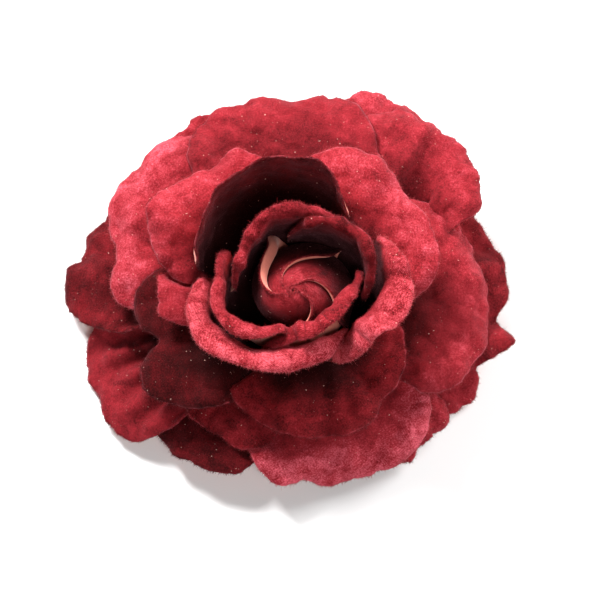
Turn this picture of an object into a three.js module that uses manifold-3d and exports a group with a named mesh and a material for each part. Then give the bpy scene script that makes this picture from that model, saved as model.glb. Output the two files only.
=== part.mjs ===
// Velvet rose on a sprung beak clip. Millimetres, +Z up out of the flower's face, +X along the clip
// towards its jaw. The clip's lever lies on Z = 0, and the flower's stem stands over the origin.
import * as THREE from 'three';
import { mergeVertices } from 'three/addons/utils/BufferGeometryUtils.js';
import Module from 'manifold-3d';

const wasm = await Module();
wasm.setup();

// ---- driving dimensions ----
const CLEARANCE = 0.3;            // between any two pieces that touch
const PETAL_THICKNESS = 0.6;      // stiffened velvet
const LEAN = 0.12;                // forward lean of the heart, per mm above the hub's foot
const LEAN_FROM = 16;

const SHEET = 0.8;                // clip steel
const BLADE_TOP = 9.2;            // upper face of the fixed blade
const BLADE_WIDTH = 10;
const BLADE_TAIL = -32;
const BLADE_TIP = 28;
const TIP_WIDTH = 6;
const PIVOT = { x: -14, z: 5 };
const PIN_RADIUS = 0.7;
const EAR_RADIUS = 2.3;
const EAR_THICKNESS = 0.7;
const FIXED_EAR_Y = 4.6;          // middle of each ear of the fixed blade
const LEVER_EAR_Y = 3.55;
const SPRING_RADIUS = 1.9;        // coil, to the middle of the wire
const SPRING_WIRE = 0.3;          // wire radius
const SPRING_TURNS = 4.5;
const SPRING_PITCH = 0.72;
const SPRING_LEG_END = -25;

const FELT_RADIUS = 21;
const FELT_BOTTOM = BLADE_TOP + CLEARANCE;
const FELT_TOP = FELT_BOTTOM + 1.5;
const HUB_BOTTOM = FELT_TOP + CLEARANCE;
const HUB_TOP = 22.4;
const BUD_BOTTOM = 23;
const BUD_HEIGHT = 16;
const BUD_RADIUS = 12.3;
const BUD_LEAN = [3.2, 3.8];        // how far the bud's foot stands off the axis, its tip on it
const BUD_SPAN = [0.07, 0.95];      // the part of the bud's height that its petals cover

// ---- finishes ----
const finish = (color, roughness, metalness = 0) =>
  new THREE.MeshStandardMaterial({ color, roughness, metalness, side: THREE.DoubleSide });
const velvet = finish(0x9c1a26, 0.9);
const felt = finish(0x6e1119, 0.95);
const moulding = finish(0x2f3b24, 0.6);
const padding = finish(0xd9cfc0, 0.95);
const steel = finish(0xb9bcc0, 0.3, 1);
const springSteel = finish(0x8f9296, 0.35, 1);

const group = new THREE.Group();

// ---- solids ----
function toManifold(geometry) {
  const bare = geometry.clone();
  bare.deleteAttribute('normal');
  bare.deleteAttribute('uv');
  const welded = mergeVertices(bare, 1e-4);
  return new wasm.Manifold(new wasm.Mesh({
    numProp: 3,
    vertProperties: Float32Array.from(welded.attributes.position.array),
    triVerts: Uint32Array.from(welded.index.array),
  }));
}

function toGeometry(solid) {
  const mesh = solid.getMesh();
  const geometry = new THREE.BufferGeometry();
  geometry.setAttribute('position', new THREE.BufferAttribute(mesh.vertProperties, 3));
  geometry.setIndex(new THREE.BufferAttribute(mesh.triVerts, 1));
  geometry.computeVertexNormals();
  return geometry;
}

function add(name, solid, material) {
  const mesh = new THREE.Mesh(toGeometry(solid), material);
  mesh.name = name;
  group.add(mesh);
  return mesh;
}

// the largest of a solid's separate bodies
function largest(solid) {
  return solid.decompose().reduce((best, body) => (body.volume() > best.volume() ? body : best));
}

const turned = (profile, segments = 24) =>
  toManifold(new THREE.LatheGeometry(profile.map(([r, z]) => new THREE.Vector2(r, z)), segments)
    .rotateX(Math.PI / 2));

// a shape drawn in X and Z, carried along Y and centred on y
const acrossY = (shape, width, y = 0) =>
  toManifold(new THREE.ExtrudeGeometry(shape, { depth: width, bevelEnabled: false, curveSegments: 8 })
    .rotateX(Math.PI / 2).translate(0, y + width / 2, 0));

// a shape drawn in X and Y, carried up Z from bottom to top
const upZ = (shape, bottom, top) =>
  toManifold(new THREE.ExtrudeGeometry(shape, { depth: top - bottom, bevelEnabled: false, curveSegments: 8 })
    .translate(0, 0, bottom));

// ---- bud core, hub and felt ----
const radians = THREE.MathUtils.degToRad;
const smooth = (x) => THREE.MathUtils.smoothstep(x, 0, 1);
const laid = [];                  // the room that each piece takes up, with a clearance all round

// A turned piece from its profile, which starts and ends on the axis, bottom first.
function turnedPiece(name, profile, segments, material, place = (solid) => solid) {
  add(name, place(turned(profile, segments)), material);
  const last = profile.length - 1;
  const grown = profile.map(([r, z], i) => {
    const down = i === 0 || z === profile[0][1];
    const up = i === last || z === profile[last][1];
    return [r > 0 ? r + CLEARANCE : 0, z + CLEARANCE * (up - down)];
  });
  layRoom(place(turned(grown, segments)));
}

function layRoom(room) {
  const { min, max } = room.boundingBox();
  laid.push({ room, min, max });
}

const CORE_WALL = 6;              // the bud petals and their tucks, over the core
const CORE_ENDS = [0.12, 0.8];    // the part of the bud's height that it fills
const CORE_RINGS = 8;
const CORE_LEAST = 0.8;           // radius at the core's tip

const coreProfile = [[0, BUD_BOTTOM + BUD_HEIGHT * CORE_ENDS[0]]];
for (let i = 0; i <= CORE_RINGS; i += 1) {
  const v = THREE.MathUtils.lerp(...CORE_ENDS, i / CORE_RINGS);
  const radius = BUD_RADIUS * Math.sin(Math.PI * v ** 0.75) ** 0.9 + 0.6 - CORE_WALL;
  coreProfile.push([Math.max(radius, CORE_LEAST), BUD_BOTTOM + BUD_HEIGHT * v]);
}
coreProfile.push([0, BUD_BOTTOM + BUD_HEIGHT * CORE_ENDS[1]]);
turnedPiece('bud_core', coreProfile, 24, padding,
  (solid) => solid.warp((p) => {
    const off = 1 - smooth((p[2] - BUD_BOTTOM) / BUD_HEIGHT);
    p[0] += BUD_LEAN[0] * off;
    p[1] += BUD_LEAN[1] * off - LEAN * Math.max(p[2] - LEAN_FROM, 0);
  }));

turnedPiece('hub', [[0, HUB_BOTTOM], [8.4, HUB_BOTTOM], [8.4, 13.6], [7.2, 14.6], [6.6, 16.6],
  [5.4, 18], [4.2, 19.2], [3.6, 20.4], [3.6, HUB_TOP], [0, HUB_TOP]], 24, moulding);

turnedPiece('felt_disc', [[0, FELT_BOTTOM], [FELT_RADIUS, FELT_BOTTOM], [FELT_RADIUS, FELT_TOP],
  [0, FELT_TOP]], 40, felt);

// ---- petals ----
const chance = (seed, k) => {
  const x = Math.sin(seed * 12.9898 + k * 78.233) * 43758.5453;
  return x - Math.floor(x);
};

// A grid of points over a petal is worked out finely, and these lines of it make the solid.
const FINE_ACROSS = 32;
const FINE_ALONG = 28;
const LINES_ACROSS = [0, 4, 8, 12, 16, 20, 24, 28, 32];
const LINES_ALONG = [0, 4, 8, 12, 16, 20, 24, 28];
const LINES_TO_LIP = [0, 6, 12, 17, 21, 23, 25, 28];  // closer over the lip of a standing petal
const HALF_ROOT = 3;              // half the width of a petal's root

const leanForward = (p) => p.setY(p.y - LEAN * Math.max(p.z - LEAN_FROM, 0));

// Unit normals of a grid of points, out of the petal's face, by differences along and across.
function gridNormals(grid) {
  const last = grid.length - 1;
  const end = grid[0].length - 1;
  return grid.map((row, i) => row.map((_, j) => {
    const across = grid[Math.min(i + 1, last)][j].clone().sub(grid[Math.max(i - 1, 0)][j]);
    const along = grid[i][Math.min(j + 1, end)].clone().sub(grid[i][Math.max(j - 1, 0)]);
    return along.cross(across).normalize();
  }));
}

// The middle line of a petal from its root out: its slope is a quadratic through three angles.
function petalSpine(base, length, slope) {
  const [a0, a1, a2] = slope.map(radians);
  const angleAt = (t) => a0 * (2 * t - 1) * (t - 1) + a1 * 4 * t * (1 - t) + a2 * t * (2 * t - 1);
  const steps = 60;
  const longest = 1.15;
  const points = [{ rho: base[0], z: base[1] }];
  for (let i = 0; i < steps; i += 1) {
    const angle = angleAt(longest * (i + 0.5) / steps);
    const reach = length * longest / steps;
    const from = points[i];
    points.push({ rho: from.rho + Math.cos(angle) * reach, z: from.z + Math.sin(angle) * reach });
  }
  return (t) => {
    const place = THREE.MathUtils.clamp(t / longest * steps, 0, steps - 1e-6);
    const i = Math.floor(place);
    const rho = THREE.MathUtils.lerp(points[i].rho, points[i + 1].rho, place - i);
    const z = THREE.MathUtils.lerp(points[i].z, points[i + 1].z, place - i);
    return { rho, z, angle: angleAt(t) };
  };
}

// The middle surface of a petal: a fan cut flat, carried along its spine, cupped across, its lip
// rolled back and its edge ruffled.
function petalGrid({
  az, base, length, fan, slope, cup = [0.01, 0], lip = [0, 0.8], twist = 0, skew = 0,
  ruffle = [0.8, 2, 0], notch = [0, 0], shoulder = 0.3, root = HALF_ROOT, seed = 1,
}) {
  const spine = petalSpine(base, length, slope);
  const turn = 2 * Math.PI;
  const azimuth = radians(az);
  const tilt = radians(twist);
  const grid = [];
  for (let i = 0; i <= FINE_ACROSS; i += 1) {
    const u = 2 * i / FINE_ACROSS - 1;
    const scallop = 0.024 * Math.sin(turn * (1.1 * u + chance(seed, 1)))
      + 0.007 * Math.sin(turn * (2.7 * u + chance(seed, 2)));
    const dent = notch[0] * Math.exp(-(((u - notch[1]) / 0.13) ** 2));
    const reach = length * (1 - shoulder * Math.abs(u) ** 3 + scallop - dent);
    const row = [];
    for (let j = 0; j <= FINE_ALONG; j += 1) {
      const v = j / FINE_ALONG;
      const across = v * reach * Math.sin(radians(fan) * u) + root * u * (1 - v);
      const t = v * reach * Math.cos(radians(fan) * u) / length;
      const { rho, z, angle } = spine(t);
      const bend = THREE.MathUtils.lerp(cup[0], cup[1], Math.min(t, 1.1)) + 1e-5;
      const flatSide = Math.sin(bend * across) / bend;
      const flatRise = (1 - Math.cos(bend * across)) / bend;
      const side = flatSide * Math.cos(tilt) - flatRise * Math.sin(tilt) + skew * t * t;
      const rise = flatSide * Math.sin(tilt) + flatRise * Math.cos(tilt);
      const radial = rho - Math.sin(angle) * rise;
      row.push(new THREE.Vector3(
        radial * Math.cos(azimuth) - side * Math.sin(azimuth),
        radial * Math.sin(azimuth) + side * Math.cos(azimuth),
        z + Math.cos(angle) * rise,
      ));
    }
    grid.push(row);
  }
  rollLip(grid, radians(lip[0]), Math.round(lip[1] * FINE_ALONG));
  const normals = gridNormals(grid);
  grid.forEach((row, i) => row.forEach((p, j) => {
    const u = 2 * i / FINE_ACROSS - 1;
    const lift = ruffle[0] * smooth(j / FINE_ALONG) ** 2 * Math.sin(turn * (ruffle[1] * u / 2 + ruffle[2]));
    leanForward(p.addScaledVector(normals[i][j], lift));
  }));
  return grid;
}

// Past row `start` each line of the grid turns away from the face, up to `roll` at the edge.
function rollLip(grid, roll, start) {
  if (roll === 0) return;
  const normals = gridNormals(grid);
  grid.forEach((row, i) => {
    const normal = normals[i][start];
    const forward = row[start + 1].clone().sub(row[start - 1]).normalize();
    const lengths = row.slice(start + 1).map((p, k) => p.distanceTo(row[start + k]));
    lengths.forEach((step, k) => {
      const angle = roll * ((k + 0.5) / lengths.length) ** 1.3;
      row[start + k + 1] = row[start + k].clone()
        .addScaledVector(forward, Math.cos(angle) * step)
        .addScaledVector(normal, -Math.sin(angle) * step);
    });
  });
}

// A smooth curve through evenly spaced values.
function through(values, u) {
  const last = values.length - 1;
  const at = (i) => {
    if (i < 0) return 2 * values[0] - values[1];
    return i > last ? 2 * values[last] - values[last - 1] : values[i];
  };
  const i = Math.min(Math.floor(u * last), last - 1);
  const f = u * last - i;
  const [a, b, c, d] = [i - 1, i, i + 1, i + 2].map(at);
  return b + f / 2 * (c - a + f * (2 * a - 5 * b + 4 * c - d + f * (3 * (b - c) + d - a)));
}

const LIP_SHARE = 1.5;            // cloth over the lip for each millimetre that it shows
const BELLY_RISE = 1;             // how far above the root the belly starts
const SWELL_HEIGHT = 0.6;         // the share of its height that a petal swells to

// The middle surface of a petal that stands round the bud from one azimuth to another: each line
// rises from the root along a cubic that swells to the belly, up to a crest whose radius and height
// follow curves through the values, and its lip then rolls outwards. Its sides are rounded off.
function standingGrid({
  turn, crest, height, lip, belly = 18, base = [4.5, 21], curl = 125, start = 0.74, inward = 0.12,
  shoulder = 0.3,
}) {
  const grid = [];
  for (let i = 0; i <= FINE_ACROSS; i += 1) {
    const u = i / FINE_ACROSS;
    const azimuth = radians(THREE.MathUtils.lerp(...turn, u));
    const side = Math.abs(2 * u - 1);
    const top = base[1] + (through(height, u) - base[1]) * (1 - shoulder * side ** 5);
    const radius = through(crest, u);
    const line = new THREE.CubicBezierCurve(
      new THREE.Vector2(...base), new THREE.Vector2(belly, base[1] + BELLY_RISE),
      new THREE.Vector2(radius + inward * (belly - radius), base[1] + SWELL_HEIGHT * (top - base[1])),
      new THREE.Vector2(radius, top));
    const reach = LIP_SHARE * through(lip, u) * Math.sqrt(1 - 0.7 * side ** 8);
    const onward = line.v3.clone().sub(line.v2).normalize();
    const row = [];
    for (let j = 0; j <= FINE_ALONG; j += 1) {
      const v = j / FINE_ALONG;
      const p = line.getPoint(Math.min(v / start, 1));
      p.addScaledVector(onward, Math.max(v - start, 0) / (1 - start) * reach);
      row.push(new THREE.Vector3(p.x * Math.cos(azimuth), p.x * Math.sin(azimuth), p.y));
    }
    grid.push(row);
  }
  if (turn[1] < turn[0]) grid.reverse();
  rollLip(grid, radians(curl), Math.round(start * FINE_ALONG));
  grid.flat().forEach(leanForward);
  return grid;
}

// A bud petal: part of a tapering barrel from its free edge round, drawn in towards its tucked end,
// its tip swirled over the others. The bud's waist stands off the axis, its tip on it.
function budGrid({ edge, span = 190, tuck = 4, grow = 0, swirl = 95, lift = 0.9 }) {
  const grid = [];
  for (let i = FINE_ACROSS; i >= 0; i -= 1) {
    const u = i / FINE_ACROSS;
    const row = [];
    for (let j = 0; j <= FINE_ALONG; j += 1) {
      const v = THREE.MathUtils.lerp(...BUD_SPAN, j / FINE_ALONG);
      const radius = BUD_RADIUS * Math.sin(Math.PI * v ** 0.75) ** 0.9 + 0.6 + grow
        - tuck * u * Math.sin(Math.PI * v * 0.93) + lift * Math.exp(-((u / 0.06) ** 2)) * v;
      const angle = radians(edge + span * u + swirl * smooth((v - 0.55) / 0.45) ** 1.2);
      row.push(leanForward(new THREE.Vector3(
        radius * Math.cos(angle) + BUD_LEAN[0] * (1 - smooth(v)),
        radius * Math.sin(angle) + BUD_LEAN[1] * (1 - smooth(v)),
        BUD_BOTTOM + BUD_HEIGHT * v)));
    }
    grid.push(row);
  }
  return grid;
}

// A closed shell on a grid, `thickness` through and `margin` wider than it all round.
function shell(grid, lines, thickness, margin = 0) {
  const normals = gridNormals(grid);
  const rows = LINES_ACROSS.map((i) => lines.map((j) => {
    const p = grid[i][j].clone();
    const away = new THREE.Vector3();
    if (i === 0) away.add(p).sub(grid[1][j]);
    if (i === FINE_ACROSS) away.add(p).sub(grid[i - 1][j]);
    if (j === 0) away.add(p).sub(grid[i][1]);
    if (j === FINE_ALONG) away.add(p).sub(grid[i][j - 1]);
    return { p: p.addScaledVector(away.normalize(), margin), normal: normals[i][j] };
  }));
  const across = rows.length;
  const along = rows[0].length;
  const at = (i, j) => i * along + j;
  const count = across * along;
  const position = [];
  for (const side of [0.5, -0.5]) {
    for (const { p, normal } of rows.flat()) {
      position.push(...p.clone().addScaledVector(normal, side * thickness).toArray());
    }
  }
  const index = [];
  const quad = (a, b, c, d) => index.push(a, b, c, a, c, d);
  for (let i = 0; i < across - 1; i += 1) {
    for (let j = 0; j < along - 1; j += 1) {
      quad(at(i, j), at(i, j + 1), at(i + 1, j + 1), at(i + 1, j));
      quad(count + at(i, j), count + at(i + 1, j), count + at(i + 1, j + 1), count + at(i, j + 1));
    }
  }
  const rim = [];
  for (let i = 0; i < across - 1; i += 1) rim.push(at(i, 0));
  for (let j = 0; j < along - 1; j += 1) rim.push(at(across - 1, j));
  for (let i = across - 1; i > 0; i -= 1) rim.push(at(i, along - 1));
  for (let j = along - 1; j > 0; j -= 1) rim.push(at(0, j));
  rim.forEach((a, k) => {
    const b = rim[(k + 1) % rim.length];
    quad(a, b, count + b, count + a);
  });
  const geometry = new THREE.BufferGeometry();
  geometry.setAttribute('position', new THREE.Float32BufferAttribute(position, 3));
  geometry.setIndex(index);
  return toManifold(geometry);
}

// Angles in degrees, lengths in millimetres. turn is the azimuths a petal stands between, crest,
// height and lip the radius, height and width of its lip at even steps between them, belly how far
// it swells, base the radius and height of its root.
const STANDING_PETALS = {
  heart_front_left: { turn: [272, 142], crest: [8, 9.2, 13, 16.4, 16.2, 19],
    height: [36, 37, 38, 38, 37.5, 35], lip: [1.5, 3, 4, 3, 2.5, 2.5], belly: 17 },
  heart_front_right: { turn: [22, -120], crest: [16.5, 11, 9.5, 8.5, 8.6, 14],
    height: [39, 39, 38.3, 38, 37, 36], lip: [2, 3.5, 5, 5.2, 4.2, 2.5], belly: 17.5 },
  heart_right: { turn: [94, 0], crest: [14.5, 15.8, 17.6, 18.9, 18.2, 16.5],
    height: [41, 43, 43, 42, 41, 36], lip: [1, 1.6, 2.4, 2.8, 2.4, 1.2], belly: 19.5 },
  heart_left: { turn: [170, 58], crest: [13.6, 13.3, 14.9, 17, 18, 19.6],
    height: [36, 39.5, 42, 43.5, 44, 43], lip: [1.6, 2.2, 2.8, 3, 2.6, 1.6], belly: 19.5 },
  rim_back: { turn: [160, 56], crest: [24, 27.5, 30, 31.2, 30, 23],
    height: [38.5, 43.5, 46.8, 48, 47, 42], lip: [0.5, 0.5, 0.5, 0.5, 0.5, 0.5], belly: 27,
    base: [6, 20.5], curl: 20, start: 0.9, shoulder: 0.1 },
  rim_front: { turn: [164, 330], crest: [20, 19.9, 16.6, 13.4, 12.8, 13.8],
    height: [31, 33, 33, 33, 33.3, 33], lip: [3.5, 6, 6.5, 6.5, 5.5, 3], belly: 20,
    base: [6, 19.5], curl: 140 },
  rim_right: { turn: [36, -54], crest: [24.5, 22.7, 21, 17.7, 16.2, 16],
    height: [39.5, 38, 36, 34, 31.5, 28.5], lip: [2, 5, 7.5, 10.5, 9, 5], belly: 22,
    base: [6, 19], curl: 105, start: 0.6 },
};

// az is the way a petal points, fan half the angle it is cut to, slope its rise at root, middle and
// tip, lip how far its edge rolls back and from where along it.
const PETALS = {
  cup_back_right: { az: 48, base: [7, 15.5], length: 39, fan: 52, slope: [24, 42, -5],
    cup: [0.02, 0.012], lip: [60, 0.75], skew: 3, seed: 22 },
  cup_back_left: { az: 131, base: [7, 15], length: 39.5, fan: 41, slope: [20, 38, -8],
    cup: [0.02, 0.012], lip: [60, 0.75], seed: 21 },
  cup_left: { az: 175, base: [7, 16.5], length: 29, fan: 26, slope: [8, 38, -10],
    lip: [50, 0.7], shoulder: 0.45, seed: 23 },
  cup_front_left: { az: 198, base: [7, 17], length: 33.5, fan: 50, slope: [18, 6, -20],
    notch: [0.17, -0.1], lip: [30, 0.85], seed: 24 },
  cup_front: { az: -65, base: [7, 16.5], length: 26.5, fan: 76, slope: [12, 6, -24],
    lip: [30, 0.8], shoulder: 0.18, seed: 25 },
  cup_front_low: { az: -121, base: [7, 16], length: 29, fan: 38, slope: [5, -8, -25], seed: 26 },
  wide_back: { az: 92, base: [8, 16.5], length: 49.8, fan: 42, slope: [15, 10, -8],
    cup: [0.02, 0], lip: [45, 0.82], ruffle: [1, 3, 0], seed: 11 },
  wide_left: { az: 136, base: [8, 15.5], length: 49.5, fan: 66, slope: [12, 5, -26],
    lip: [60, 0.76], skew: -2, shoulder: 0.62, notch: [0.14, 0.5], ruffle: [1, 3, 0.3], seed: 12 },
  wide_right: { az: 8, base: [8, 16], length: 42, fan: 52, slope: [12, 0, -25],
    lip: [50, 0.8], shoulder: 0.25, seed: 13 },
  wide_front: { az: -65, base: [8, 14.5], length: 37.5, fan: 60, slope: [3, -12, -40],
    notch: [0.08, -0.45], lip: [40, 0.8], seed: 14 },
  wide_back_right: { az: 51, base: [8, 15.3], length: 53.5, fan: 26, slope: [13, 8, -5],
    lip: [50, 0.85], shoulder: 0.2, seed: 16 },
  outer_left: { az: 162, base: [9, 13.2], length: 50, fan: 29, slope: [4, -8, -30],
    lip: [25, 0.85], ruffle: [1.5, 2, 0.1], seed: 1 },
  outer_left_low: { az: 197, base: [9, 12.5], length: 44.5, fan: 34, slope: [1, -13, -34], seed: 2 },
  outer_front_left: { az: 230, base: [9, 14], length: 35.5, fan: 38, slope: [2, -10, -33], seed: 3 },
  outer_front: { az: 272, base: [9, 12.3], length: 30.5, fan: 30, slope: [0, -15, -40], seed: 4 },
  outer_front_right: { az: 320, base: [9, 13.5], length: 37.5, fan: 24, slope: [3, -12, -35],
    lip: [30, 0.8], seed: 5 },
  outer_right_low: { az: 341, base: [9, 12.2], length: 40, fan: 20, slope: [1, -13, -35], seed: 15 },
  outer_right: { az: 14, base: [9, 13.5], length: 47, fan: 44, slope: [5, -8, -30],
    ruffle: [2, 3, 0.2], notch: [0.08, -0.32], seed: 6 },
  outer_back_right: { az: 64, base: [9, 13.4], length: 55.5, fan: 24, slope: [9, 6, 0],
    lip: [60, 0.78], seed: 7 },
  outer_back_left: { az: 117, base: [9, 13.5], length: 49, fan: 17, slope: [8, 0, -5], seed: 8 },
  outer_left_high: { az: 131, base: [9, 14.2], length: 46, fan: 16, slope: [6, 1, -12], seed: 9 },
  outer_back: { az: 95, base: [9, 12.3], length: 43, fan: 28, slope: [0, -13, -46], seed: 10 },
};

const BUD_PETALS = {
  bud_left: { edge: 98 },
  bud_back: { edge: 45, grow: -0.3 },
  bud_right: { edge: -42 },
  bud_front: { edge: 248, grow: -0.3 },
};

// Each petal is glued over the ones outside it, so it is trimmed clear of all that is laid before it.
function layPetal(name, grid, lines) {
  const whole = shell(grid, lines, PETAL_THICKNESS);
  const box = whole.boundingBox();
  const near = laid.filter(({ min, max }) =>
    [0, 1, 2].every((k) => min[k] < box.max[k] && max[k] > box.min[k]));
  add(name, largest(whole.subtract(wasm.Manifold.union(near.map(({ room }) => room)))), velvet);
  layRoom(shell(grid, lines, PETAL_THICKNESS + 2 * CLEARANCE, CLEARANCE).add(whole));
}

for (const [name, cut] of Object.entries(BUD_PETALS)) layPetal(name, budGrid(cut), LINES_ALONG);
for (const [name, cut] of Object.entries(STANDING_PETALS)) {
  layPetal(name, standingGrid(cut), LINES_TO_LIP);
}
for (const [name, cut] of Object.entries(PETALS)) layPetal(name, petalGrid(cut), LINES_ALONG);

// ---- beak clip ----
const BLADE_BOTTOM = BLADE_TOP - SHEET;

// Outline of a sheet seen from the side: a middle line with half the sheet's thickness either side.
function sheetOutline(path, thickness) {
  const points = path.getPoints(6).filter((p, i, all) => i === 0 || p.distanceTo(all[i - 1]) > 1e-3);
  const offset = points.map((p, i) => {
    const before = points[Math.max(i - 1, 0)];
    const after = points[Math.min(i + 1, points.length - 1)];
    const along = after.clone().sub(before).normalize();
    return new THREE.Vector2(-along.y, along.x).multiplyScalar(thickness / 2);
  });
  const over = points.map((p, i) => p.clone().add(offset[i]));
  const under = points.map((p, i) => p.clone().sub(offset[i])).reverse();
  return new THREE.Shape([...over, ...under]);
}

const TAPER_FROM = 6;             // where a blade starts to narrow
const TAIL_CORNER = 3;

// Plan of a blade: parallel to its tail, tapering to its tip, with rounded ends.
function bladePlan() {
  const w = BLADE_WIDTH / 2;
  const tip = TIP_WIDTH / 2;
  const corner = TAIL_CORNER;
  const plan = new THREE.Shape();
  plan.moveTo(BLADE_TAIL + corner, -w);
  plan.lineTo(TAPER_FROM, -w);
  plan.lineTo(BLADE_TIP - tip, -tip);
  plan.absarc(BLADE_TIP - tip, 0, tip, -Math.PI / 2, Math.PI / 2, false);
  plan.lineTo(TAPER_FROM, w);
  plan.lineTo(BLADE_TAIL + corner, w);
  plan.quadraticCurveTo(BLADE_TAIL, w, BLADE_TAIL, w - corner);
  plan.lineTo(BLADE_TAIL, corner - w);
  plan.quadraticCurveTo(BLADE_TAIL, -w, BLADE_TAIL + corner, -w);
  return plan;
}

const EAR_FOOT = 4;               // half the width of an ear where it is folded
const FOLD = 0.1;                 // how far an ear reaches into its sheet

// An ear: round over the pivot, widening to the sheet that it is folded from at height `foot`.
function ear(y, foot) {
  const down = foot < PIVOT.z ? 1 : -1;
  const shape = new THREE.Shape();
  shape.moveTo(PIVOT.x - EAR_FOOT, foot);
  shape.lineTo(PIVOT.x + EAR_FOOT, foot);
  shape.lineTo(PIVOT.x + EAR_RADIUS, PIVOT.z);
  shape.absarc(PIVOT.x, PIVOT.z, EAR_RADIUS, 0, down * Math.PI, down < 0);
  return acrossY(shape, EAR_THICKNESS, y);
}

const alongY = (radius, y0, y1, segments = 16) =>
  toManifold(new THREE.CylinderGeometry(radius, radius, y1 - y0, segments)
    .translate(PIVOT.x, (y0 + y1) / 2, PIVOT.z));
const pinRoom = alongY(PIN_RADIUS + CLEARANCE, -BLADE_WIDTH, BLADE_WIDTH);

const fixedBlade = upZ(bladePlan(), BLADE_BOTTOM, BLADE_TOP)
  .add(ear(FIXED_EAR_Y, BLADE_BOTTOM + FOLD))
  .add(ear(-FIXED_EAR_Y, BLADE_BOTTOM + FOLD))
  .subtract(pinRoom);
add('fixed_blade', fixedBlade, steel);

const LEVER_LOW = SHEET / 2;      // the sheet's middle where the lever lies on its flat
const LEVER_RAISED = 1.2;
const TIP_MEETING = BLADE_BOTTOM - CLEARANCE - SHEET / 2;
const TAIL_RIBS = [-30.2, -28.6, -27];
const RIB_RADIUS = 0.5;
const RIB_WIDTH = 6;
const TAIL_RISE = 0.4;            // how far the tail's end stands off the flat
// the lever's bends, along X
const TAIL_FLAT = -20;
const STEP_FROM = -10;
const STEP_MIDDLE = -8;
const STEP_TO = -5;
const JAW_RISE = { from: 15, bend: 18.5, x: 20, z: 3.6, over: 21.8, to: 24.5 };
const NOTCH = { length: 9, depth: 3, height: 4 };     // cut in the lever's sides for the fixed ears
const LEVER_WAIST = LEVER_EAR_Y + EAR_THICKNESS / 2;

function leverBlade() {
  const side = new THREE.Path();
  side.moveTo(BLADE_TAIL, LEVER_LOW + TAIL_RISE);
  side.lineTo(TAIL_FLAT, LEVER_RAISED);
  side.lineTo(STEP_FROM, LEVER_RAISED);
  side.quadraticCurveTo(STEP_MIDDLE, LEVER_RAISED, STEP_TO, LEVER_LOW);
  side.lineTo(JAW_RISE.from, LEVER_LOW);
  side.quadraticCurveTo(JAW_RISE.bend, LEVER_LOW, JAW_RISE.x, JAW_RISE.z);
  side.quadraticCurveTo(JAW_RISE.over, TIP_MEETING, JAW_RISE.to, TIP_MEETING);
  side.lineTo(BLADE_TIP, TIP_MEETING);
  const sheet = acrossY(sheetOutline(side, SHEET), BLADE_WIDTH).intersect(upZ(bladePlan(), -1, BLADE_TOP));
  const notch = new THREE.BoxGeometry(NOTCH.length, NOTCH.depth, NOTCH.height);
  const notches = [1, -1].map((s) =>
    toManifold(notch.clone().translate(PIVOT.x, s * (LEVER_WAIST + NOTCH.depth / 2), LEVER_RAISED)));
  const ribs = TAIL_RIBS.map((x) => toManifold(
    new THREE.CylinderGeometry(RIB_RADIUS, RIB_RADIUS, RIB_WIDTH, 8).translate(x, 0, RIB_RADIUS)));
  return wasm.Manifold.union([
    sheet.subtract(wasm.Manifold.union(notches)),
    ear(LEVER_EAR_Y, LEVER_RAISED),
    ear(-LEVER_EAR_Y, LEVER_RAISED),
    ...ribs,
  ]).subtract(pinRoom);
}
add('lever', leverBlade(), steel);

const HEAD_RADIUS = 1.5;
const HEAD_INNER = FIXED_EAR_Y + EAR_THICKNESS / 2 + CLEARANCE;
const HEAD_THICKNESS = 0.5;
const HEAD_OUTER = HEAD_INNER + HEAD_THICKNESS;
add('hinge_pin', wasm.Manifold.union([
  alongY(PIN_RADIUS, -HEAD_OUTER, HEAD_OUTER),
  alongY(HEAD_RADIUS, HEAD_INNER, HEAD_OUTER),
  alongY(HEAD_RADIUS, -HEAD_OUTER, -HEAD_INNER),
]), steel);

// The spring's wire: in along the lever's tail, round the pin, and out under the fixed blade.
class SpringPath extends THREE.Curve {
  getPoint(t, target = new THREE.Vector3()) {
    const legLength = PIVOT.x - SPRING_LEG_END;
    const coilLength = 2 * Math.PI * SPRING_RADIUS * SPRING_TURNS;
    const s = t * (2 * legLength + coilLength);
    const halfWidth = SPRING_TURNS * SPRING_PITCH / 2;
    const lowLeg = LEVER_RAISED + SHEET / 2 + SPRING_WIRE + CLEARANCE;
    const highLeg = BLADE_BOTTOM - SPRING_WIRE - CLEARANCE;
    const low = PIVOT.z - SPRING_RADIUS;
    const high = PIVOT.z + SPRING_RADIUS;
    if (s < legLength) {
      const k = s / legLength;
      return target.set(SPRING_LEG_END + s, halfWidth, THREE.MathUtils.lerp(lowLeg, low, smooth(k)));
    }
    if (s > legLength + coilLength) {
      const k = (s - legLength - coilLength) / legLength;
      return target.set(PIVOT.x - k * legLength, -halfWidth, THREE.MathUtils.lerp(high, highLeg, smooth(k)));
    }
    const k = (s - legLength) / coilLength;
    const angle = -Math.PI / 2 + 2 * Math.PI * SPRING_TURNS * k;
    return target.set(PIVOT.x + SPRING_RADIUS * Math.cos(angle), halfWidth * (1 - 2 * k),
      PIVOT.z + SPRING_RADIUS * Math.sin(angle));
  }
}
const wireSection = new THREE.Shape();
wireSection.absarc(0, 0, SPRING_WIRE, 0, 2 * Math.PI);
add('spring', toManifold(new THREE.ExtrudeGeometry(wireSection, {
  extrudePath: new SpringPath(), steps: 72, curveSegments: 3, bevelEnabled: false,
})), springSteel);

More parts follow.
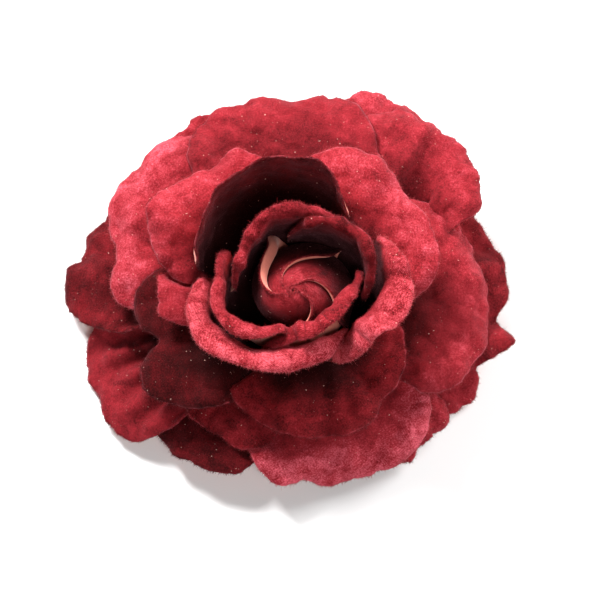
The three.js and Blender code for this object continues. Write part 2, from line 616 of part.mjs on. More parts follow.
// ---- felt patch, stitched over the fixed blade ----
const PATCH_TOP = BLADE_BOTTOM - CLEARANCE;
const PATCH_THICKNESS = 1;
const PATCH_BOTTOM = PATCH_TOP - PATCH_THICKNESS;
const PATCH = { from: -7, to: 14, side: 8, corner: 3 };
const patchPlan = new THREE.Shape();
patchPlan.moveTo(PATCH.from + PATCH.corner, -PATCH.side);
patchPlan.lineTo(PATCH.to - PATCH.corner, -PATCH.side);
patchPlan.quadraticCurveTo(PATCH.to, -PATCH.side, PATCH.to, PATCH.corner - PATCH.side);
patchPlan.lineTo(PATCH.to, PATCH.side - PATCH.corner);
patchPlan.quadraticCurveTo(PATCH.to, PATCH.side, PATCH.to - PATCH.corner, PATCH.side);
patchPlan.lineTo(PATCH.from + PATCH.corner, PATCH.side);
patchPlan.quadraticCurveTo(PATCH.from, PATCH.side, PATCH.from, PATCH.side - PATCH.corner);
patchPlan.lineTo(PATCH.from, PATCH.corner - PATCH.side);
patchPlan.quadraticCurveTo(PATCH.from, -PATCH.side, PATCH.from + PATCH.corner, -PATCH.side);
add('felt_patch', upZ(patchPlan, PATCH_BOTTOM, PATCH_TOP), felt);

export default group;
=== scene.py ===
import math
import bpy
import numpy as np
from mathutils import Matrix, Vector


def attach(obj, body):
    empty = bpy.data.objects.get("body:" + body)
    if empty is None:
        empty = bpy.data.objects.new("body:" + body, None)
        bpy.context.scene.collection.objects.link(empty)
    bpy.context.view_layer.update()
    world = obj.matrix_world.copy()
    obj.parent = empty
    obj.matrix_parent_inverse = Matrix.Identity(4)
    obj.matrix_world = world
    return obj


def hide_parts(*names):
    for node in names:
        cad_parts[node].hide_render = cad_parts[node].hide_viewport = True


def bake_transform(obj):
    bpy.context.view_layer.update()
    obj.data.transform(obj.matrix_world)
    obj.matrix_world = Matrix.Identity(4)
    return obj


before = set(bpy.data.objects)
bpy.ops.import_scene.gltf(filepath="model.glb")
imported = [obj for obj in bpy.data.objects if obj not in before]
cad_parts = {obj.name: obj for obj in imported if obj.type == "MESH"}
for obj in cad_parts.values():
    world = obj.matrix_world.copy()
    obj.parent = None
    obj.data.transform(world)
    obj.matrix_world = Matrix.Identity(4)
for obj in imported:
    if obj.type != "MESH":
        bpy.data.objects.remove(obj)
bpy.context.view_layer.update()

MM = 0.001


# ---- The clip's blades and rivet: bright plated sheet steel, pressed and folded. The fixed blade is
# held under the felt disc by the patch, the lever turns on a rivet through both pairs of ears.

class Wire:
    """A shader value. Sums, differences and products of wires and numbers add Math nodes."""

    def __init__(self, recipe, socket):
        self.recipe = recipe
        self.socket = socket

    def math(self, operation, *values):
        sockets = dict(enumerate(values))
        return self.recipe.node("ShaderNodeMath", {"operation": operation}, sockets)

    def __add__(self, other):
        return self.math("ADD", self, other)

    def __sub__(self, other):
        return self.math("SUBTRACT", self, other)

    def __rsub__(self, other):
        return self.math("SUBTRACT", other, self)

    def __mul__(self, other):
        return self.math("MULTIPLY", self, other)

    __radd__ = __add__
    __rmul__ = __mul__

    def sine(self):
        return self.math("SINE", self)

    def above(self, low, high):
        """0 below low, 1 above high, smooth between."""
        return self.recipe.node("ShaderNodeMapRange", {"interpolation_type": "SMOOTHSTEP"},
                                {"Value": self, "From Min": low, "From Max": high})


class Recipe:
    """A material under construction."""

    def __init__(self, name):
        self.material = bpy.data.materials.new(name)
        self.material.use_nodes = True
        self.tree = self.material.node_tree
        self.shader = self.tree.nodes["Principled BSDF"]

    def node(self, kind, settings, sockets, out=0):
        """Adds a node of a kind, with its settings and the values or wires of its sockets."""
        made = self.tree.nodes.new(kind)
        for key, value in settings.items():
            setattr(made, key, value)
        for key, value in sockets.items():
            self.feed(made.inputs[key], value)
        return Wire(self, made.outputs[out])

    def feed(self, socket, value):
        if isinstance(value, Wire):
            self.tree.links.new(value.socket, socket)
        else:
            socket.default_value = value

    def finish(self, **sockets):
        """Sets the shader's sockets, named with _ for spaces."""
        for key, value in sockets.items():
            self.feed(self.shader.inputs[key.replace("_", " ")], value)
        return self.material

    def place(self, scale=1.0):
        """Object coordinates in millimetres, times a scale."""
        at = self.node("ShaderNodeTexCoord", {}, {}, "Object")
        return self.node("ShaderNodeVectorMath", {"operation": "SCALE"}, {0: at, "Scale": scale / MM})

    def cloth_place(self, scale=1.0):
        """The piece's flat pattern in millimetres, times a scale."""
        at = self.node("ShaderNodeUVMap", {"uv_map": "cloth"}, {})
        return self.node("ShaderNodeVectorMath", {"operation": "SCALE"}, {0: at, "Scale": scale})

    def noise(self, at, size, detail=2.0, roughness=0.5, distortion=0.0):
        """Cloudy noise from 0 to 1, with lumps about size millimetres across."""
        return self.node("ShaderNodeTexNoise", {}, {
            "Vector": at, "Scale": 1.0 / size, "Detail": detail, "Roughness": roughness,
            "Distortion": distortion})

    def painted(self, name):
        """A number painted on the piece's points."""
        return self.node("ShaderNodeAttribute", {"attribute_name": name}, {}, "Fac")

    def mix(self, share, first, second):
        """A colour between two colours."""
        return self.node("ShaderNodeMix", {"data_type": "RGBA"}, {0: share, 6: first, 7: second}, 2)

    def bump(self, height, depth, strength=1.0):
        """A normal from a height of 0 to 1 that stands for depth millimetres."""
        return self.node("ShaderNodeBump", {}, {
            "Height": height, "Distance": depth * MM, "Strength": strength})


def plated_steel(name, tone, roughness):
    """Plating with fine draw lines along the sheet, cloudy handling marks and duller scuffs."""
    r = Recipe(name)
    at = r.place()
    stretched = r.node("ShaderNodeVectorMath", {"operation": "MULTIPLY"}, {0: at, 1: (0.12, 4.0, 4.0)})
    lines = r.noise(stretched, 0.6, 3.0, 0.6)
    marks = r.noise(at, 4.0, 3.0, 0.6)
    scuffs = r.noise(at, 0.9, 4.0, 0.7).above(0.62, 0.7)
    dark = tuple(0.72 * c for c in tone) + (1,)
    return r.finish(
        Base_Color=r.mix(marks.above(0.3, 0.75) * 0.5 + scuffs * 0.3, tone + (1,), dark),
        Metallic=1.0,
        Roughness=lines * 0.12 + scuffs * 0.18 + roughness,
        Normal=r.bump(lines, 0.01),
    )


blade_plating = plated_steel("blade_plating", (0.78, 0.79, 0.8), 0.2)
for node in ("fixed_blade", "lever", "hinge_pin"):
    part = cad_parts[node]
    part.data.materials.clear()
    part.data.materials.append(blade_plating)


# ---- The spring: one round steel wire wound about the rivet, its ends lying along the two blades.

WIRE_RADIUS = 0.3
COIL_RADIUS = 1.9
COIL_TURNS = 4.5
COIL_PITCH = 0.72
RIVET = (-14.0, 5.0)
LEG = 11.0
LOW_LEG, HIGH_LEG = 2.2, 7.8      # heights of the legs' ends, on the lever and under the fixed blade


def smooth(x):
    """0 to 1 with level ends: three squares less two cubes."""
    x = np.clip(x, 0, 1)
    return x * x * (3 - 2 * x)


def chance(seed, k):
    """A number from 0 to 1 that belongs to a piece and a use."""
    return (math.sin(seed * 12.9898 + k * 78.233) * 43758.5453) % 1.0


def link_mesh(name, points, faces, finishes, painted=(), pattern=None, finish_of=None, soft=True):
    """An object of points in millimetres and faces of one size: its finishes and which one each face
    has, numbers painted on its points, their places on the flat pattern, and if its faces are
    shaded as one soft surface."""
    mesh = bpy.data.meshes.new(name)
    mesh.vertices.add(len(points))
    mesh.vertices.foreach_set("co", (points * MM).ravel())
    mesh.loops.add(faces.size)
    mesh.loops.foreach_set("vertex_index", faces.ravel())
    mesh.polygons.add(len(faces))
    mesh.polygons.foreach_set("loop_start", np.arange(0, faces.size, faces.shape[1]))
    if soft:
        mesh.polygons.foreach_set("use_smooth", np.ones(len(faces), bool))
    for finish in finishes:
        mesh.materials.append(finish)
    if finish_of is not None:
        mesh.polygons.foreach_set("material_index", finish_of.astype(np.int32))
    if pattern is not None:
        mesh.uv_layers.new(name="cloth").data.foreach_set("uv", pattern[faces.ravel()].ravel())
    for name_of_paint, values in painted:
        layer = mesh.attributes.new(name_of_paint, "FLOAT", "POINT")
        layer.data.foreach_set("value", values.astype(np.float32))
    mesh.update(calc_edges=True)
    piece = bpy.data.objects.new(name, mesh)
    bpy.context.scene.collection.objects.link(piece)
    return piece


def tube_faces(rings, around):
    """Triangles of a closed tube of rings of points, with a middle point at each end after them."""
    at = np.arange(rings * around).reshape(rings, around)
    after = np.roll(at, -1, 1)
    a, b, c, d = at[:-1], after[:-1], after[1:], at[1:]
    sides = np.concatenate([np.stack([a, b, c], -1).reshape(-1, 3), np.stack([a, c, d], -1).reshape(-1, 3)])
    first, last = rings * around, rings * around + 1
    foot = np.stack([np.full(around, first), after[0], at[0]], -1)
    head = np.stack([np.full(around, last), at[-1], after[-1]], -1)
    return np.concatenate([sides, foot, head])


def tube(path, radius, around):
    """Points of a round tube along a path, its ends drawn in to a dome, and its triangles."""
    ahead = np.gradient(path, axis=0)
    ahead = ahead / np.linalg.norm(ahead, axis=1, keepdims=True)
    side = np.cross(ahead, np.array([0.31, 0.17, 0.94]))
    side = side / np.linalg.norm(side, axis=1, keepdims=True)
    up = np.cross(side, ahead)
    turn = np.linspace(0, 2 * np.pi, around, endpoint=False)
    size = np.full(len(path), radius)
    size[[0, -1]] = radius * 0.6
    ring = side[:, None] * np.cos(turn)[:, None] - up[:, None] * np.sin(turn)[:, None]
    points = path[:, None] + ring * size[:, None, None]
    return np.concatenate([points.reshape(-1, 3), path[:1], path[-1:]]), tube_faces(len(path), around)


def spring_path():
    """In along the lever, round the rivet in a helix, and back out under the fixed blade."""
    s = np.linspace(0, 1, 40)
    half = COIL_TURNS * COIL_PITCH / 2
    foot = np.stack([RIVET[0] - LEG * (1 - s), half + 0 * s,
                     LOW_LEG + (RIVET[1] - COIL_RADIUS - LOW_LEG) * smooth(s)], 1)
    k = np.linspace(0, 1, 200)[1:-1]
    angle = -np.pi / 2 + 2 * np.pi * COIL_TURNS * k
    coil = np.stack([RIVET[0] + COIL_RADIUS * np.cos(angle), half * (1 - 2 * k),
                     RIVET[1] + COIL_RADIUS * np.sin(angle)], 1)
    head = np.stack([RIVET[0] - LEG * s, -half + 0 * s,
                     RIVET[1] + COIL_RADIUS + (HIGH_LEG - RIVET[1] - COIL_RADIUS) * smooth(s)], 1)
    return np.concatenate([foot, coil, head])


spring = link_mesh("spring_wire", *tube(spring_path(), WIRE_RADIUS, 12),
                   [plated_steel("spring_wire_steel", (0.5, 0.5, 0.52), 0.28)])
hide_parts("spring")
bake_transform(spring)


# ---- The felt disc and patch: pressed wool. The disc closes the flower's back, and the patch holds the
# fixed blade to it, sewn down either side of the blade with running stitches of cotton.

FELT_DISC = (21.0, 9.5, 11.0)     # radius, underside and top
PATCH = (-7.0, 14.0, 8.0, 3.0)    # its ends, half width and corners
PATCH_HEIGHTS = (7.1, 8.1)
SEAM_INSET = 1.3
STITCH, STITCH_STEP = 1.7, 2.6
THREAD_RADIUS = 0.17
LUMP_HEIGHT = 0.12
felt_chance = np.random.default_rng(3)


def felt_finish(name, dark, light):
    """Matted wool: crossed wisps of two lengths over cloudy wear, soft and without shine."""
    r = Recipe(name)
    at = r.place()
    wisps = r.noise(at, 0.35, 4.0, 0.8, 1.5)
    wear = r.noise(at, 5.0, 2.0, 0.5)
    return r.finish(
        Base_Color=r.mix((wisps * 0.7 + wear * 0.5).above(0.35, 0.85), dark + (1,), light + (1,)),
        Roughness=0.95, Specular_IOR_Level=0.1,
        Sheen_Weight=0.3, Sheen_Roughness=0.4, Sheen_Tint=(1.0, 0.5, 0.5, 1),
        Normal=r.bump(wisps, 0.25, 0.8),
    )


def lumps(x, y, seed):
    """Crossed sines of three sizes, from -1 to 1."""
    q = [6.3 * chance(seed, k) for k in range(6)]
    return (0.5 * np.sin(x * 0.35 + q[0]) * np.sin(y * 0.3 + q[1])
            + 0.3 * np.sin(x * 0.9 + y * 0.4 + q[2]) * np.sin(y * 0.8 - x * 0.3 + q[3])
            + 0.2 * np.sin(x * 2.1 + q[4]) * np.sin(y * 2.4 + q[5]))


def slab(outline, low, high, rings=22):
    """A soft slab: rings of its outline drawn in to the middle over its top and underside, its rim a
    half circle, its faces a little lumpy. outline gives a point for each turn from 0 to 1."""
    turn = np.linspace(0, 1, 180, endpoint=False)
    rim = outline(turn)
    middle = rim.mean(0)
    round_rim = np.linspace(-np.pi / 2, np.pi / 2, 9)
    half = (high - low) / 2
    inner = np.linspace(0.03, 1, rings)
    size = np.linalg.norm(rim - middle, axis=1)
    share, level = [], []
    for s in inner:
        share.append(s * (1 - half / size))
        level.append(low)
    for a in round_rim[1:-1]:
        share.append(1 - half / size * (1 - np.cos(a)))
        level.append((low + high) / 2 + half * np.sin(a))
    for s in inner[::-1]:
        share.append(s * (1 - half / size))
        level.append(high)
    xy = middle + np.stack(share)[..., None] * (rim - middle)
    z = np.array(level)[:, None] + LUMP_HEIGHT * lumps(xy[..., 0], xy[..., 1], 5)
    points = np.concatenate([xy, z[..., None]], -1)
    ends = np.array([[*middle, low], [*middle, high]])
    return np.concatenate([points.reshape(-1, 3), ends]), tube_faces(len(level), len(turn))


def disc_outline(turn):
    """A circle whose radius wavers by two sines, as scissors leave it."""
    a = 2 * np.pi * turn
    radius = FELT_DISC[0] - 0.25 + 0.12 * np.sin(7 * a + 1) + 0.08 * np.sin(17 * a)
    return np.stack([radius * np.cos(a), radius * np.sin(a)], 1)


def patch_outline(turn, inset=0.0):
    """A rectangle whose corners are round: a superellipse of the fifth power."""
    a = 2 * np.pi * turn
    c, d = np.cos(a), np.sin(a)
    middle = (PATCH[0] + PATCH[1]) / 2
    reach = (np.abs(c) ** 5 + np.abs(d) ** 5) ** (-1 / 5)
    half = (PATCH[1] - PATCH[0]) / 2 - inset
    return np.stack([middle + half * reach * c, (PATCH[2] - inset) * reach * d], 1)


def drawn_up(points):
    """The patch hugs the blade, and its sides are pulled up towards the disc by their stitches."""
    points = points.copy()
    points[:, 2] += 1.15 * smooth((np.abs(points[:, 1]) - 4.6) / 2.2)
    return points


def stitches(outline, height, lift):
    """Short threads along an outline, each bowed out of the felt at its middle."""
    turn = np.linspace(0, 1, 2000)
    line = outline(turn)
    reach = np.concatenate([[0], np.cumsum(np.linalg.norm(np.diff(line, axis=0), axis=1))])
    count = int(reach[-1] / STITCH_STEP)
    points, faces, total = [], [], 0
    for k in range(count):
        s = k * reach[-1] / count + np.linspace(0, STITCH, 9) + felt_chance.uniform(-0.15, 0.15)
        x, y = (np.interp(s, reach, line[:, axis]) for axis in (0, 1))
        bow = np.sin(np.linspace(0, np.pi, 9))
        path = lift(np.stack([x, y, height + 0.1 - 0.26 * bow], 1))
        made, sides = tube(path, THREAD_RADIUS, 8)
        points.append(made)
        faces.append(sides + total)
        total += len(made)
    return np.concatenate(points), np.concatenate(faces)


wool = felt_finish("crimson_felt", (0.07, 0.004, 0.006), (0.22, 0.02, 0.026))
disc_slab = slab(disc_outline, FELT_DISC[1] + LUMP_HEIGHT, FELT_DISC[2] - LUMP_HEIGHT, 30)
disc = link_mesh("felt_disc_wool", *disc_slab, [wool])
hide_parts("felt_disc")
patch_points, patch_faces = slab(patch_outline, *PATCH_HEIGHTS)
patch = link_mesh("felt_patch_wool", drawn_up(patch_points), patch_faces, [wool])
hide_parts("felt_patch")


def cotton(name, tone):
    """Twisted thread: slanting plies that darken between them."""
    r = Recipe(name)
    twist = r.noise(r.place(), 0.18, 2.0, 0.6, 0.5)
    shade = tuple(0.5 * c for c in tone)
    return r.finish(Base_Color=r.mix(twist, shade + (1,), tone + (1,)), Roughness=0.8,
                    Normal=r.bump(twist, 0.05))


thread = cotton("crimson_cotton", (0.32, 0.03, 0.04))
seam_line = stitches(lambda turn: patch_outline(turn, SEAM_INSET), PATCH_HEIGHTS[0], drawn_up)
seam = link_mesh("patch_stitches", *seam_line, [thread])
for piece in (disc, patch, seam):
    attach(piece, "flower")


# ---- The hub: a moulded stem seat, hidden under the petals, with the petals' roots glued to it.

def moulded(name, tone):
    """Matt moulded plastic with a faint orange-peel skin."""
    r = Recipe(name)
    skin = r.noise(r.place(), 0.5, 2.0)
    return r.finish(Base_Color=tone + (1,), Roughness=skin * 0.2 + 0.5, Normal=r.bump(skin, 0.03))


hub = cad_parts["hub"]
hub.data.materials.clear()
hub.data.materials.append(moulded("hub_moulding", (0.03, 0.045, 0.02)))


# ---- The petals' cloth: crimson pile velvet with a salmon woven back. Each petal is cut flat, formed
# with heat and glued by its root.

VELVET_THICKNESS = 0.7
EDGE_THINNING = 0.45              # the cut edge is crushed to about half
EDGE_WIDTH = 0.9
ACROSS, ALONG = 81, 61            # points over a petal
LEAN = 0.12                       # forward lean of the flower's heart
LEAN_FROM = 16.0
RIB_PITCH = 0.43                  # of the velvet's weave, at the width given to the flower
THREAD_PITCH = 0.36               # of its back
LINT = (0.8, 0.5, 0.42)


def face_normals(p):
    """Unit normals of a grid of points, out of the petal's face: differences along, crossed with across."""
    n = np.cross(np.gradient(p, axis=1), np.gradient(p, axis=0))
    return n / np.maximum(np.linalg.norm(n, axis=-1, keepdims=True), 1e-9)


def lean_forward(p):
    """Moves points forward in proportion to their height over the hub."""
    p = p.copy()
    p[..., 1] -= LEAN * np.maximum(p[..., 2] - LEAN_FROM, 0)
    return p


def flat_lengths(p):
    """Lengths along a grid: across from its middle line, and along from its root."""
    down = np.linalg.norm(np.diff(p, axis=0), axis=-1)
    across = np.concatenate([np.zeros_like(down[:1]), np.cumsum(down, axis=0)])
    across = across - across[len(across) // 2]
    out = np.linalg.norm(np.diff(p, axis=1), axis=-1)
    along = np.concatenate([np.zeros_like(out[:, :1]), np.cumsum(out, axis=1)], axis=1)
    return across, along


def velvet(name, deep, full, painted_highlight, glow=0.3, mottle=0.5):
    """Crimson pile. Its shade follows the tone painted on each petal, which is painted light and shade:
    brighter on petals that face the lamps, darker on petals in shade and towards the roots, where the
    petals over them shade them. Over it lie cloudy drifts and scuffs, and the tufts themselves, with ribs
    of the weave under them, specks of lint, and a pale edge, partly the crushed cut edge and partly a
    painted highlight. The brightest shade turns to a pink painted highlight. Sheen is the pile's glow at
    a grazing angle."""
    r = Recipe(name)
    at = r.place()
    cloth = r.cloth_place()
    drift = r.noise(at, 6.0, 3.0, 0.6, 0.8)
    scuff = r.noise(at, 1.7, 3.0, 0.65)
    tuft = r.noise(cloth, 0.42, 3.0, 0.8)
    across = r.node("ShaderNodeSeparateXYZ", {}, {0: cloth})
    rows = Wire(r, across.socket.node.outputs[1])
    step = 2 * math.pi / RIB_PITCH
    ribs = (across * step).sine() * (rows * step).sine() * 0.5 + 0.5
    lint = r.noise(at, 0.6, 1.0, 0.5).above(0.76, 0.8)
    edge = r.painted("edge").above(0.35, 1.0)
    # tone: each petal's painted light and shade.
    tone = r.painted("tone")
    nap = drift * 1.5 + scuff * 0.7 + tuft * 2.0 + ribs * 0.45 - 2.35
    shade = (nap * mottle + 0.55) * tone
    colour = r.mix(shade.above(0.0, 0.75), deep + (1,), full + (1,))
    # Painted highlight: where the painted light is brightest the colour turns to pink.
    colour = r.mix(shade.above(0.55, 1.25), colour, painted_highlight + (1,))
    # Pale edge: partly the crushed cut edge, partly a painted highlight in the highlight colour.
    colour = r.mix(edge * (scuff.above(0.4, 0.7) * 0.35), colour, painted_highlight + (1,))
    colour = r.mix(lint * 0.6, colour, LINT + (1,))
    return r.finish(
        Base_Color=colour, Roughness=1.0 - tuft * 0.2, Specular_IOR_Level=0.08,
        Sheen_Weight=glow, Sheen_Roughness=0.3, Sheen_Tint=(1.0, 0.33, 0.4, 1),
        Normal=r.bump(tuft * 0.65 + scuff * 0.3 + ribs * 0.1, 0.4, 0.9),
    )


def woven_back(name, tone):
    """The cloth's plain-woven back: over-and-under threads, a little fuzz and the pile's colour
    showing between the threads."""
    r = Recipe(name)
    cloth = r.cloth_place(2 * math.pi / THREAD_PITCH)
    threads = r.node("ShaderNodeSeparateXYZ", {}, {0: cloth})
    other = Wire(r, threads.socket.node.outputs[1])
    weave = threads.sine() * other.sine() * 0.5 + 0.5
    fuzz = r.noise(r.place(), 0.6, 3.0, 0.6)
    shade = tuple(0.55 * c for c in tone)
    colour = r.mix(weave * 0.5 + fuzz * 0.5, shade + (1,), tone + (1,))
    return r.finish(
        Base_Color=colour, Roughness=0.85, Specular_IOR_Level=0.2,
        Sheen_Weight=0.25, Sheen_Roughness=0.4, Sheen_Tint=(1.0, 0.75, 0.7, 1),
        Normal=r.bump(weave, 0.06, 0.7),
    )


crimson = velvet("crimson_velvet", (0.012, 0.0006, 0.0006), (0.3, 0.017, 0.025), (0.77, 0.14, 0.19))
# shaded_crimson: a darker copy of the velvet with less sheen, painted shade for the petals in shade.
shaded_crimson = velvet("shaded_crimson_velvet", (0.01, 0.0005, 0.0005), (0.26, 0.013, 0.019),
                      (0.66, 0.1, 0.13), 0.12, 0.7)
salmon = woven_back("salmon_back", (0.78, 0.23, 0.17))


def shell_faces(nu, nv):
    """Quads of a closed shell on a grid: its front, its back turned over, and its rim."""
    at = np.arange(nu * nv).reshape(nu, nv)
    front = np.stack([at[:-1, :-1], at[:-1, 1:], at[1:, 1:], at[1:, :-1]], -1).reshape(-1, 4)
    behind = front[:, ::-1] + nu * nv
    ring = np.concatenate([at[:-1, 0], at[-1, :-1], at[:0:-1, -1], at[0, :0:-1]])
    after = np.roll(ring, -1)
    rim = np.stack([ring, after, after + nu * nv, ring + nu * nv], -1)
    return front, behind, rim


def cloth_piece(name, p, flat, face, back, tone):
    """A closed shell about a grid of points: half the cloth's thickness to each side, thinned towards
    its cut edges, with the flat pattern as its UV map, how near the edge a point is and its tone, which
    is painted light and shade."""
    nu, nv = p.shape[:2]
    across, along = flat_lengths(p)
    to_edge = np.minimum(along[:, -1:] - along, np.minimum(across - across[:1], across[-1:] - across))
    edge = np.clip(1 - to_edge / EDGE_WIDTH, 0, 1)
    half = VELVET_THICKNESS / 2 * (1 - EDGE_THINNING * edge)
    n = face_normals(p) * half[..., None]
    points = np.concatenate([(p + n).reshape(-1, 3), (p - n).reshape(-1, 3)])
    front, behind, rim = shell_faces(nu, nv)
    # tone: painted light and shade, on both faces.
    painted = [("edge", np.tile(edge.ravel(), 2)), ("tone", np.tile((tone + 0 * edge).ravel(), 2))]
    pattern = np.tile(flat.reshape(-1, 2), (2, 1))
    finish_of = np.repeat([0, 1, 0], [len(front), len(behind), len(rim)])
    return link_mesh(name, points, np.concatenate([front, behind, rim]), [face, back], painted,
                     pattern, finish_of)


CELL = 0.5                        # of the map of what lies over each place
MAP_HALF = 80.0
DEEPEST_DENT = 6                  # more than this and the petal stands beside the other
SPREADING_STEPS = 30
DENT_HOLD = 0.995


class Ceiling:
    """The lowest height of all that has been laid so far over each small square of the ground."""

    def __init__(self):
        size = int(2 * MAP_HALF / CELL)
        self.low = np.full((size, size), np.inf)

    def cell(self, p):
        return tuple(((p[..., k] + MAP_HALF) / CELL).astype(int) for k in (0, 1))

    def lay(self, p):
        """Adds a petal: the least height in each square and the eight round it."""
        i, j = self.cell(p)
        for di in (-1, 0, 1):
            for dj in (-1, 0, 1):
                np.minimum.at(self.low, (i + di, j + dj), p[..., 2])

    def under(self, p, gap):
        """Presses a petal down until it is clear by gap. The dent is stretched smoothly over the
        petal, as cloth takes it: the least surface over the dents whose points are their
        neighbours' average elsewhere."""
        need = np.maximum(p[..., 2] + gap - self.low[self.cell(p)], 0)
        need = np.where(need > DEEPEST_DENT, 0, need)
        press = need
        for _ in range(SPREADING_STEPS):
            around = np.pad(press, 1, mode="edge")
            mean = (around[2:, 1:-1] + around[:-2, 1:-1] + around[1:-1, 2:] + around[1:-1, :-2]) / 4
            press = np.maximum(need, mean * DENT_HOLD)
        p = p.copy()
        p[..., 2] -= press
        return p


ceiling = Ceiling()


def finish_petal(name, p, flat, tone=1.0, root_shade=0.2, face=crimson):
    """Makes a petal's cloth, with painted shade that darkens it towards its root, where the petals over it
    shade it, and hands it to the frame.
    """
    v = np.linspace(0, 1, ALONG)[None, :]
    # Painted shade: the tone falls towards the root, by root_shade.
    tone = tone * (root_shade + (1 - root_shade) * smooth((v - 0.4) / 0.5)) + np.zeros((ACROSS, 1))
    piece = cloth_piece(name + "_cloth", p, flat, face, salmon, tone)
    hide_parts(name)
    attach(piece, "flower")
    cross = np.cross(flat[1:, 1:] - flat[:-1, :-1], flat[:-1, 1:] - flat[1:, :-1])
    return tone


# ---- The bud: four petals wrapped round a padded core, each edge tucked under the next. The core is
# a ball of wadding, shut in by them.

BUD_BOTTOM, BUD_HEIGHT, BUD_RADIUS = 23.0, 16.0, 12.3
BUD_LEAN = (3.2, 3.8)             # the bud's waist stands off the axis, its tip on it
CORE_WALL = 6.3
CORE_ENDS = (0.12, 0.79)


def bud_core():
    """The bud's barrel drawn in by the petals' wall, its skin dimpled by crossed sines."""
    v = np.linspace(*CORE_ENDS, 24)[:, None]
    a = np.linspace(0, 2 * np.pi, 48, endpoint=False)[None, :]
    radius = BUD_RADIUS * np.sin(np.pi * v ** 0.75) ** 0.9 + 0.6 - CORE_WALL
    radius = np.maximum(radius, 0.8) - 0.25 * (1 + np.sin(5 * a + 9 * v) * np.sin(3 * a - 14 * v))
    off = 1 - smooth(v) + 0 * a
    z = BUD_BOTTOM + BUD_HEIGHT * v + 0 * a
    p = np.stack([radius * np.cos(a) + BUD_LEAN[0] * off, radius * np.sin(a) + BUD_LEAN[1] * off, z], -1)
    p = lean_forward(p)
    ends = np.stack([p[0].mean(0), p[-1].mean(0)])
    return np.concatenate([p.reshape(-1, 3), ends]), tube_faces(24, 48)


def wadding(name, tone):
    """Pale fibre wadding: long soft lumps crossed with fine fibres."""
    r = Recipe(name)
    fibres = r.noise(r.place(), 0.5, 4.0, 0.75, 2.0)
    shade = tuple(0.6 * c for c in tone)
    return r.finish(Base_Color=r.mix(fibres, shade + (1,), tone + (1,)), Roughness=0.95,
                    Normal=r.bump(fibres, 0.3))


core = link_mesh("bud_core_wadding", *bud_core(), [wadding("pale_wadding", (0.68, 0.62, 0.54))])
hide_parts("bud_core")
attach(core, "flower")


def roll_lip(p, degrees, start, seed, uneven=0.22):
    """Past its start each line of the grid turns away from the face, by an angle that grows to
    `degrees` at the edge; its steps keep their lengths."""
    i = int(round(start * (p.shape[1] - 1)))
    n = face_normals(p)[:, i:i + 1]
    d = p[:, i + 1:i + 2] - p[:, i - 1:i]
    d = d / np.linalg.norm(d, axis=-1, keepdims=True)
    steps = np.linalg.norm(p[:, i + 1:] - p[:, i:-1], axis=-1)
    count = steps.shape[1]
    share = (np.arange(count) + 0.5) / count
    u = np.linspace(-1, 1, p.shape[0])[:, None]
    wander = 1 + uneven * np.sin(2 * np.pi * (0.8 * u + chance(seed, 20)))
    g = np.radians(degrees) * wander * share[None, :] ** 1.3
    moves = (d * np.cos(g)[..., None] - n * np.sin(g)[..., None]) * steps[..., None]
    p = p.copy()
    p[:, i + 1:] = p[:, i:i + 1] + np.cumsum(moves, axis=1)
    return p


def bud_petal(edge, span=190, tuck=4.0, grow=0.0, swirl=95, lift=0.9, peel=30, peel_width=0.09):
    """Part of a tapering barrel from its free edge round (its radius is a power of a sine of its
    height), drawn in towards its tucked end, its tip swirled over the others."""
    u = np.linspace(0, 1, ACROSS)[:, None]
    v = np.linspace(0.07, 0.97, ALONG)[None, :]
    radius = BUD_RADIUS * np.sin(np.pi * v ** 0.75) ** 0.9 + 0.6 + grow
    radius = radius - tuck * u * np.sin(np.pi * v * 0.93) + lift * np.exp(-(u / 0.06) ** 2) * v
    angle = np.radians(edge + span * u + swirl * smooth((v - 0.55) / 0.45) ** 1.2)
    off = 1 - smooth(v) + 0 * u
    p = np.stack([radius * np.cos(angle) + BUD_LEAN[0] * off, radius * np.sin(angle) + BUD_LEAN[1] * off,
                  BUD_BOTTOM + BUD_HEIGHT * v + 0 * u], -1)
    flat = np.stack([BUD_RADIUS * np.radians(span) * u * np.sin(np.pi * v * 0.9 + 0.2),
                     1.3 * BUD_HEIGHT * v + 0 * u], -1)
    opened = peel * np.sin(np.pi * np.clip(v[0] * 1.15 - 0.12, 0, 1))[:, None]
    p = roll_lip(p[::-1].swapaxes(0, 1), opened, 1 - peel_width, 0, 0).swapaxes(0, 1)
    return lean_forward(p), flat[::-1]


# Painted light and shade of the bud.
BUD_LIGHT_AND_SHADE = 1.3
BUD_PILE_COATS = 2
BUD_PETALS = {
    "bud_left": dict(edge=98, lift=0.3, peel=165, peel_width=0.14),
    "bud_back": dict(edge=45, grow=-0.3),
    "bud_right": dict(edge=-42),
    "bud_front": dict(edge=248, grow=-0.3),
}
bud_petals = []
for name, cut in BUD_PETALS.items():
    p, flat = bud_petal(**cut)
    ceiling.lay(p)
    # Painted shade: darker low down, where the heart petals shade the bud, and towards its front and left,
    # away from the lamps.
    painted_shade = smooth((p[..., 2] - 31.5) / 6.5) * (0.65 + 0.35 * smooth((p[..., 0] + p[..., 1] + 8) / 12))
    tone = finish_petal(name, p, flat, BUD_LIGHT_AND_SHADE * (0.12 + 0.88 * painted_shade), 1.0, shaded_crimson)
    bud_petals.append((p, tone))
rings = {"bud": bud_petals * BUD_PILE_COATS}


# ---- The heart and rim petals: four and three of them, of the shaded copy of the velvet, painted
# shade. They stand round the bud in a pinwheel, each with one side inside the next, and their lips
# roll outwards.

def through(values, u):
    """A smooth curve through evenly spaced values: cubic pieces whose slope at a value is half the
    step between its neighbours."""
    k = np.array([2 * values[0] - values[1], *values, 2 * values[-1] - values[-2]], float)
    at = u * (len(values) - 1)
    i = np.minimum(at.astype(int), len(values) - 2)
    f = at - i
    a, b, c, d = (k[i + step] for step in range(4))
    return b + f / 2 * (c - a + f * (2 * a - 5 * b + 4 * c - d + f * (3 * (b - c) + d - a)))


